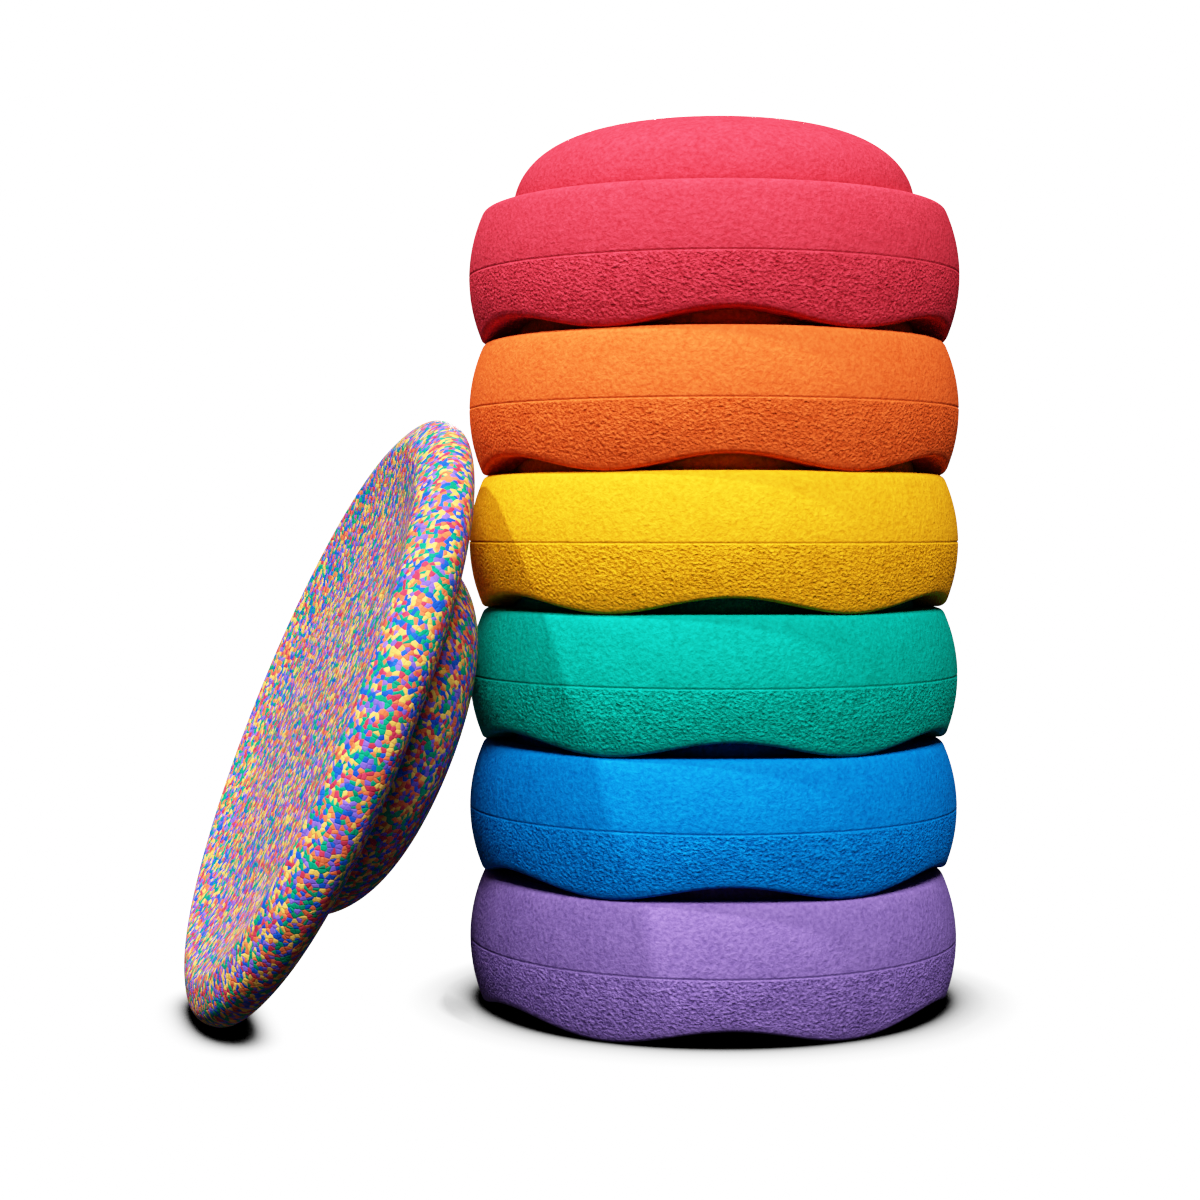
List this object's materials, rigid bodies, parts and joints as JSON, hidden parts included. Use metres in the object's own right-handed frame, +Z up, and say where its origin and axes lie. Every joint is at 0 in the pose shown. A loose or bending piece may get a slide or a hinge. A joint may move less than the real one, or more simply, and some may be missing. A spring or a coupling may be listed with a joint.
{
  "type": "stepping stone and balance board set",
  "caption": "Rainbow stack of nesting domed foam stepping stones with wavy feet, and a round dished foam balance board leaning on it.",
  "frame": {"origin": "centre of the set's footprint, on the floor; the stack's axis is 78.2 mm along +X and 15.1 mm along -Y from it", "axes": "+Z up, +X from the balance board to the stack, Y along the tipping axis of the board"},
  "size_m": [0.4314, 0.35, 0.49],
  "materials": {
    "purple_stone_foam": "moulded bead foam, fine matt grain above the mould line and coarse crinkle below",
    "blue_stone_foam": "moulded bead foam, fine matt grain above the mould line and coarse crinkle below",
    "green_stone_foam": "moulded bead foam, fine matt grain above the mould line and coarse crinkle below",
    "yellow_stone_foam": "moulded bead foam, fine matt grain above the mould line and coarse crinkle below",
    "orange_stone_foam": "moulded bead foam, fine matt grain above the mould line and coarse crinkle below",
    "red_stone_foam": "moulded bead foam, fine matt grain above the mould line and coarse crinkle below",
    "balance_board_foam": "moulded bead foam of mixed red, orange, yellow, green, blue and purple beads"
  },
  "bodies": {
    "purple_stone": {"purple_stone": "purple_stone_foam"},
    "blue_stone": {"blue_stone": "blue_stone_foam"},
    "green_stone": {"green_stone": "green_stone_foam"},
    "yellow_stone": {"yellow_stone": "yellow_stone_foam"},
    "orange_stone": {"orange_stone": "orange_stone_foam"},
    "red_stone": {"red_stone": "red_stone_foam"},
    "balance_board": {"balance_board": "balance_board_foam"}
  },
  "joints": [
    {"name": "lift_blue_stone", "type": "slide", "parent": "purple_stone", "child": "blue_stone", "axis": [0, 0, 1], "range_m": [0, 0.06]},
    {"name": "lift_green_stone", "type": "slide", "parent": "blue_stone", "child": "green_stone", "axis": [0, 0, 1], "range_m": [0, 0.06]},
    {"name": "lift_yellow_stone", "type": "slide", "parent": "green_stone", "child": "yellow_stone", "axis": [0, 0, 1], "range_m": [0, 0.06]},
    {"name": "lift_orange_stone", "type": "slide", "parent": "yellow_stone", "child": "orange_stone", "axis": [0, 0, 1], "range_m": [0, 0.06]},
    {"name": "lift_red_stone", "type": "slide", "parent": "orange_stone", "child": "red_stone", "axis": [0, 0, 1], "range_m": [0, 0.06]},
    {"name": "tip_balance_board", "type": "hinge", "parent": "purple_stone", "child": "balance_board", "pos_m": [-0.2016, 0, 0.0159], "axis": [0, 1, 0], "range_deg": [-112, 0]}
  ]
}
